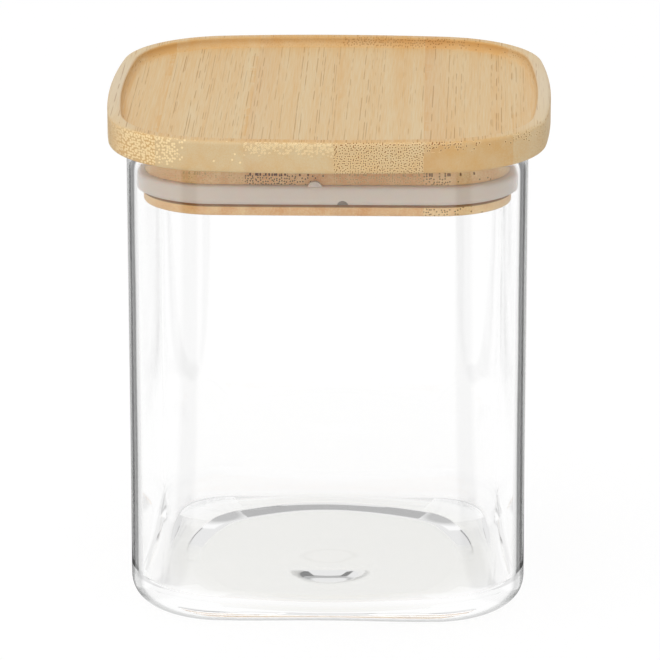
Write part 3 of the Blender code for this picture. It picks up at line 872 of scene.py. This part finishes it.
def studio_floor(gap_light):
    """Matt white sweep: pure white to the eye and through glass, with the jar's soft shadow kept, and
    painted shade under the jar where it is seen through the base.
    """
    material = bpy.data.materials.new("Matt White Sweep")
    add = emptied(material)
    path, bounced, looked_at = rays(add)
    place = add("TexCoord").outputs["Object"]
    glow = add("Mix", {0: bounced, 2: 1.03, 3: floor_glow(add, place, gap_light)})
    matt = add("BsdfDiffuse", {"Color": linear("FAFAFA")})
    # Painted shade: through the base, the floor under the jar is a little greyer
    reach = add("VectorMath", (place,), "LENGTH")
    under = add(
        "MapRange", {0: reach, 1: 34 * MM, 2: 54 * MM, 3: 1.0, 4: 0.0}, interpolation_type="SMOOTHSTEP")
    through = add("Math", (under, path["Is Transmission Ray"]), "MULTIPLY")
    shade = add("Mix", {0: through, 6: linear("FFFFFF"), 7: linear("F1F1ED")}, data_type="RGBA").outputs[2]
    lit = add("Emission", {"Color": shade, "Strength": glow})
    glowing = add("Mix", {0: bounced, 2: 0.88, 3: 1.0})
    share = add("Math", (looked_at, glowing), "MULTIPLY")
    add("OutputMaterial", {"Surface": add("MixShader", (share, matt, lit))})
    return material


def studio_world(gap_light):
    """White surround for the eye and for glass, and an even soft light on everything else."""
    world = bpy.data.worlds.new("White Studio")
    add = emptied(world)
    _, bounced, looked_at = rays(add)
    direction = add("TexCoord").outputs["Generated"]
    glow = add("Mix", {0: bounced, 2: 1.0, 3: world_glow(add, direction, gap_light)})
    strength = add("Mix", {0: looked_at, 2: 0.75, 3: glow})
    add("OutputWorld", {"Surface": add("Background", {"Strength": strength})})
    return world


# Profiles

def heel(edge, low, reach, rise, roundness, steps):
    """An elliptical heel from its foot up to the wall, as (half width, height, roundness)."""
    points = []
    for step in range(steps + 1):
        angle = math.pi / 2 * step / steps
        inwards = 1 - math.sin(angle)
        points.append((edge - reach * inwards, low + rise * (1 - math.cos(angle)), roundness * inwards))
    return points


def eased(share, bend=0.15):
    """A straight ramp from 0 to 1 with a short round at each end."""
    if share < bend:
        return share ** 2 / (2 * bend * (1 - bend))
    if share < 1 - bend:
        return (share - bend / 2) / (1 - bend)
    return 1 - (1 - share) ** 2 / (2 * bend * (1 - bend))


def glass_profile(glass):
    """The glass from the middle of its underside, round the wall, to its inner floor."""
    outer, bore = glass.half_width, glass.half_width - glass.wall
    punt_half = outer - glass.heel_reach - glass.bearing_width
    roundness = glass.base_roundness
    slope_start = punt_half - glass.punt_step
    dome_steps, slope_steps, bearing_steps, floor_steps = 36, 20, 6, 24
    halves = [slope_start * step / dome_steps for step in range(dome_steps)]
    halves += [slope_start + glass.punt_step * step / slope_steps for step in range(slope_steps + 1)]
    profile = []
    for half in halves:
        swell = (1 + math.cos(math.pi * min(1.0, half / glass.mark_radius))) / 2
        inside = min(1.0, (punt_half - half) / glass.punt_step)
        height = glass.punt_rise * eased(inside) - glass.mark_drop * swell
        outwards = max(0.0, (half - glass.mark_radius) / (punt_half - glass.mark_radius))
        profile.append((half, height, 1 - (1 - glass.punt_roundness) * outwards))
    outer_heel = heel(outer, 0.0, glass.heel_reach, glass.heel_rise, roundness, 32)
    for step in range(1, bearing_steps):
        share = step / bearing_steps
        half = punt_half + (outer_heel[0][0] - punt_half) * share
        profile.append((half, 0.0, glass.punt_roundness + (roundness - glass.punt_roundness) * share))
    profile += outer_heel
    lip = glass.wall / 2
    rim = arc(outer - lip, glass.height - lip, lip, 0, 180, 16)
    profile += straight(outer_heel[-1], rim[0], 40) + rim
    inner_round = glass.inner_roundness
    inner_heel = heel(bore, glass.base, glass.inner_heel_reach, glass.inner_heel_rise, inner_round, 32)
    foot = bore - glass.inner_heel_reach
    profile += straight(rim[-1], inner_heel[-1], 40) + inner_heel[::-1]
    for step in reversed(range(floor_steps)):
        share = step / floor_steps
        profile.append((foot * share, glass.base, 1 - (1 - inner_round) * share))
    return profile


def board_profile(board):
    """The board from the middle of its underside, over the rim, to the middle of the dish."""
    low, high, half = LID_LOW.z, LID_HIGH.z, LID_HIGH.x
    floor, wall, brink_round = high - board.recess_depth, half - board.rim_width, board.rim_inner_round
    lower = arc(half - board.bottom_round, low + board.bottom_round, board.bottom_round, -90, 0, 8)
    upper = arc(half - board.top_round, high - board.top_round, board.top_round, 0, 90, 8)
    brink = arc(wall + brink_round, high - brink_round, brink_round, 90, 180, 6)
    foot = arc(wall - board.recess_fillet, floor + board.recess_fillet, board.recess_fillet, 0, -90, 8)
    profile = [(0.0, low)] + straight((0.0, low), lower[0], 24) + lower
    profile += straight(lower[-1], upper[0], 10) + upper + brink + foot
    return profile + straight(foot[-1], (0.0, floor), 24) + [(0.0, floor)]


def plug_profile(plug):
    """The plug from the middle of its underside, past the seal's groove, to its glued top."""
    half, low, high = PLUG_HIGH.x, PLUG_LOW.z, PLUG_HIGH.z
    clearance = bpy.context.scene.storage_jar_seal.seat_clearance
    groove_low, groove_high = SEAL_LOW.z - clearance, groove_top_z() + clearance
    lower = arc(half - plug.edge_round, low + plug.edge_round, plug.edge_round, -90, 0, 6)
    inner = half - plug.groove_depth
    profile = [(0.0, low)] + straight((0.0, low), lower[0], 24) + lower
    profile += [(half, groove_low), (inner, groove_low), (inner, groove_high), (half, groove_high)]
    profile += [(half, high)] + straight((half, high), (0.0, high), 24) + [(0.0, high)]
    return profile


def groove_top_z():
    """Top of the seal's band, under its tab."""
    return SEAL_HIGH.z - bpy.context.scene.storage_jar_seal.tab_rise


def seal_profile(seal, plug, outer):
    """The seal's closed section: square in its groove, and drawn in at its lower edge."""
    low, high = SEAL_LOW.z, groove_top_z()
    inner = PLUG_HIGH.x - plug.groove_depth + seal.seat_clearance
    lower = arc(outer - seal.lower_round, low + seal.lower_round, seal.lower_round, -90, 0, 12)
    upper = arc(outer - seal.upper_round, high - seal.upper_round, seal.upper_round, 0, 90, 6)
    corner_low, corner_high = (inner, low), (inner, high)
    profile = [corner_low] + straight(corner_low, lower[0], 3) + lower
    profile += straight(lower[-1], upper[0], 5) + upper
    profile += straight(upper[-1], corner_high, 3) + [corner_high]
    return profile + straight(corner_high, corner_low, 4) + [corner_low]


def seal_tab(seal, outer):
    """Half-round pull tab standing on the seal's front edge, before the plug."""
    front, back = -(outer - seal.upper_round / 2), -(PLUG_HIGH.x + seal.tab_clearance)
    root = groove_top_z() - seal.tab_rise
    edge_round, half_round = 0.25 * MM, arc(0.0, 0.0, 1.0, 0, 180, 24)
    bm = bmesh.new()
    ends = []
    for y in (front, back):
        ends.append([
            bm.verts.new((seal.tab_x + seal.tab_width / 2 * u, y, root + (SEAL_HIGH.z - root) * v))
            for u, v in half_round])
    bm.faces.new(ends[0])
    bm.faces.new(ends[1][::-1])
    for step in range(len(half_round)):
        after = (step + 1) % len(half_round)
        bm.faces.new((ends[0][step], ends[1][step], ends[1][after], ends[0][after]))
    crown = [edge for edge in bm.edges
             if all(vert.co.z > root + 1e-6 for vert in edge.verts) and edge.calc_face_angle(0.0) > 1.0]
    bmesh.ops.bevel(bm, geom=crown, offset=edge_round, segments=3, affect="EDGES")
    return bm


def seal_nick(seal, outer):
    """The round bar that leaves the nick in the seal's lower edge."""
    bm = bmesh.new()
    bmesh.ops.create_cone(
        bm, cap_ends=True, segments=40, radius1=seal.notch_radius, radius2=seal.notch_radius,
        depth=2 * seal.notch_depth)
    for vert in bm.verts:
        x, y, z = vert.co
        vert.co = (seal.notch_x + x, -outer + z, SEAL_LOW.z + y)
    return bm


def carved(mesh, material, *tools):
    """A mesh with closed shapes joined to it or cut from it."""
    host = bpy.data.objects.new(mesh.name, mesh)
    bpy.context.scene.collection.objects.link(host)
    helpers = []
    for bm, operation in tools:
        bmesh.ops.recalc_face_normals(bm, faces=bm.faces)
        shape = bpy.data.meshes.new("tool")
        bm.to_mesh(shape)
        bm.free()
        shape.materials.append(material)
        helper = bpy.data.objects.new("tool", shape)
        bpy.context.scene.collection.objects.link(helper)
        helpers.append(helper)
        modifier = host.modifiers.new("Carve", "BOOLEAN")
        modifier.object, modifier.operation, modifier.solver = helper, operation, "EXACT"
    result = plain_mesh(host, mesh.name)
    host.modifiers.clear()
    for item in (host, *helpers):
        bpy.data.objects.remove(item, do_unlink=True)
    result.shade_smooth()
    result.set_sharp_from_angle(angle=SMOOTH_ANGLE)
    return result


# Operators

class STORAGE_JAR_OT_stage(bpy.types.Operator):
    """Set the white studio: camera, floor, soft light and surround"""

    bl_idname = "storage_jar.stage"
    bl_label = "Set the Stage"

    def execute(self, context):
        stage = context.scene.storage_jar_stage
        scene = context.scene
        turn, rise = stage.azimuth, stage.elevation
        back = Vector((math.sin(turn) * math.cos(rise), -math.cos(turn) * math.cos(rise), math.sin(rise)))
        across = Vector((math.cos(turn), math.sin(turn), 0.0))
        aim = across * stage.aim_x + Vector((0.0, 0.0, stage.aim_z))
        view = (-back).to_track_quat("-Z", "Y").to_matrix() @ Matrix.Rotation(stage.roll, 3, "Z")
        lens = bpy.data.cameras.new("Product Camera")
        lens.lens, lens.sensor_width = stage.lens, 36.0
        camera = bpy.data.objects.new("Product Camera", lens)
        camera.matrix_world = Matrix.Translation(aim + back * stage.distance) @ view.to_4x4()
        scene.collection.objects.link(camera)
        scene.camera = camera

        floor_radius, lamp_aim = 6.0, Vector((0.0, 0.0, 0.06))
        bm = bmesh.new()
        bmesh.ops.create_circle(bm, cap_ends=True, segments=64, radius=floor_radius)
        sweep_mesh = bpy.data.meshes.new("studio_floor")
        bm.to_mesh(sweep_mesh)
        bm.free()
        sweep_mesh.materials.append(studio_floor(stage.gap_light))
        floor = bpy.data.objects.new("studio_floor", sweep_mesh)
        scene.collection.objects.link(floor)

        for name, size, power, place in (
            ("Overhead Softbox", 1.4, 8.4, (-0.2, -0.2, 1.6)),
            ("Front Softbox", 1.2, 7.0, (-0.6, -1.8, 1.1)),
        ):
            light = bpy.data.lights.new(name, "AREA")
            light.shape, light.size, light.energy = "DISK", size, power
            lamp = bpy.data.objects.new(name, light)
            lamp.location = place
            lamp.rotation_euler = (lamp_aim - Vector(place)).to_track_quat("-Z", "Y").to_euler()
            lamp.visible_camera = False
            lamp.visible_transmission = False
            scene.collection.objects.link(lamp)
        scene.world = studio_world(stage.gap_light)
        scene.view_settings.view_transform = "Standard"
        return {"FINISHED"}


class STORAGE_JAR_OT_glass(bpy.types.Operator):
    """Make the blown glass body"""

    bl_idname = "storage_jar.glass"
    bl_label = "Blow the Glass"

    def execute(self, context):
        glass = context.scene.storage_jar_glass
        mesh = sweep(
            "jar_glass", glass_profile(glass), clear_glass(glass), nominal_half=glass.half_width,
            side_radius=glass.side_radius, corner_radius=glass.corner_radius, around=320,
            arch_rise=glass.foot_arch, arch_top=glass.base, arch_fade=glass.foot_arch_fade,
            arch_inner_half=glass.half_width - glass.heel_reach - glass.bearing_width,
            mark_radius=glass.mark_radius, mark_shift=glass.mark_y,
            waviness=glass.waviness, wavy_inside_half=glass.half_width - glass.wall / 2)
        add_piece("jar_glass", mesh, "jar", ["glass_jar"])
        return {"FINISHED"}


class STORAGE_JAR_OT_board(bpy.types.Operator):
    """Make the strips of the dished bamboo board"""

    bl_idname = "storage_jar.board"
    bl_label = "Mill the Board"

    def execute(self, context):
        board = context.scene.storage_jar_board
        wood = bamboo("Bamboo, Laminated and Sanded", board)
        mesh = sweep(
            "board", board_profile(board), wood, nominal_half=LID_HIGH.x,
            side_radius=board.side_radius, corner_radius=board.corner_radius, around=256)
        add_strips("board_strip", mesh, LID_JOINTS, BOARD_STRIPS, STRIP_NODES)
        return {"FINISHED"}


class STORAGE_JAR_OT_plug(bpy.types.Operator):
    """Make the strips of the plug under the board"""

    bl_idname = "storage_jar.plug"
    bl_label = "Mill the Plug"

    def execute(self, context):
        plug, glass = context.scene.storage_jar_plug, context.scene.storage_jar_glass
        wood = bamboo("Bamboo Plug, Laminated and Milled", plug, groove_low=SEAL_LOW.z)
        inset = glass.half_width - PLUG_HIGH.x
        mesh = sweep(
            "plug", plug_profile(plug), wood, nominal_half=PLUG_HIGH.x,
            side_radius=glass.side_radius - inset, corner_radius=glass.corner_radius - inset, around=224)
        add_strips("plug_block", mesh, PLUG_JOINTS, PLUG_STRIPS, PLUG_NODES)
        return {"FINISHED"}


class STORAGE_JAR_OT_seal(bpy.types.Operator):
    """Make the silicone seal with its pull tab and nick"""

    bl_idname = "storage_jar.seal"
    bl_label = "Mould the Seal"

    def execute(self, context):
        seal, plug = context.scene.storage_jar_seal, context.scene.storage_jar_plug
        glass = context.scene.storage_jar_glass
        inset = glass.wall + seal.glass_clearance
        outer = glass.half_width - inset
        rubber = silicone(seal)
        ring = sweep(
            "silicone_seal", seal_profile(seal, plug, outer), rubber, nominal_half=outer,
            side_radius=glass.side_radius - inset, corner_radius=glass.corner_radius - inset, around=320)
        mesh = carved(
            ring, rubber, (seal_tab(seal, outer), "UNION"), (seal_nick(seal, outer), "DIFFERENCE"))
        add_piece("silicone_seal", mesh, "lid", ["seal_ring"])
        return {"FINISHED"}


class STORAGE_JAR_PT_panel(bpy.types.Panel):
    """Sidebar panel with the jar's settings and steps"""

    bl_idname = "STORAGE_JAR_PT_panel"
    bl_label = "Storage Jar"
    bl_space_type = "VIEW_3D"
    bl_region_type = "UI"
    bl_category = "Storage Jar"

    def draw(self, context):
        for attribute, step in STEPS.items():
            box = self.layout.box()
            settings = getattr(context.scene, attribute)
            for name in settings.__annotations__:
                box.prop(settings, name)
            box.operator(step.bl_idname)


SETTINGS = {
    "storage_jar_stage": StageSettings,
    "storage_jar_glass": JarGlassSettings,
    "storage_jar_board": LidBoardSettings,
    "storage_jar_plug": PlugSettings,
    "storage_jar_seal": SealSettings,
}
STEPS = {
    "storage_jar_stage": STORAGE_JAR_OT_stage,
    "storage_jar_glass": STORAGE_JAR_OT_glass,
    "storage_jar_board": STORAGE_JAR_OT_board,
    "storage_jar_plug": STORAGE_JAR_OT_plug,
    "storage_jar_seal": STORAGE_JAR_OT_seal,
}


def register():
    """Register the settings, the steps and the panel."""
    for group in SETTINGS.values():
        bpy.utils.register_class(group)
    for name, group in SETTINGS.items():
        setattr(bpy.types.Scene, name, PointerProperty(type=group))
    for step in STEPS.values():
        bpy.utils.register_class(step)
    bpy.utils.register_class(STORAGE_JAR_PT_panel)


def unregister():
    """Take the panel, the steps and the settings out again."""
    bpy.utils.unregister_class(STORAGE_JAR_PT_panel)
    for step in STEPS.values():
        bpy.utils.unregister_class(step)
    for name, group in SETTINGS.items():
        delattr(bpy.types.Scene, name)
        bpy.utils.unregister_class(group)


def main():
    """Register the add-on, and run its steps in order."""
    register()
    bpy.ops.storage_jar.stage()
    bpy.ops.storage_jar.glass()
    bpy.ops.storage_jar.board()
    bpy.ops.storage_jar.plug()
    bpy.ops.storage_jar.seal()


if __name__ == "__main__":
    main()
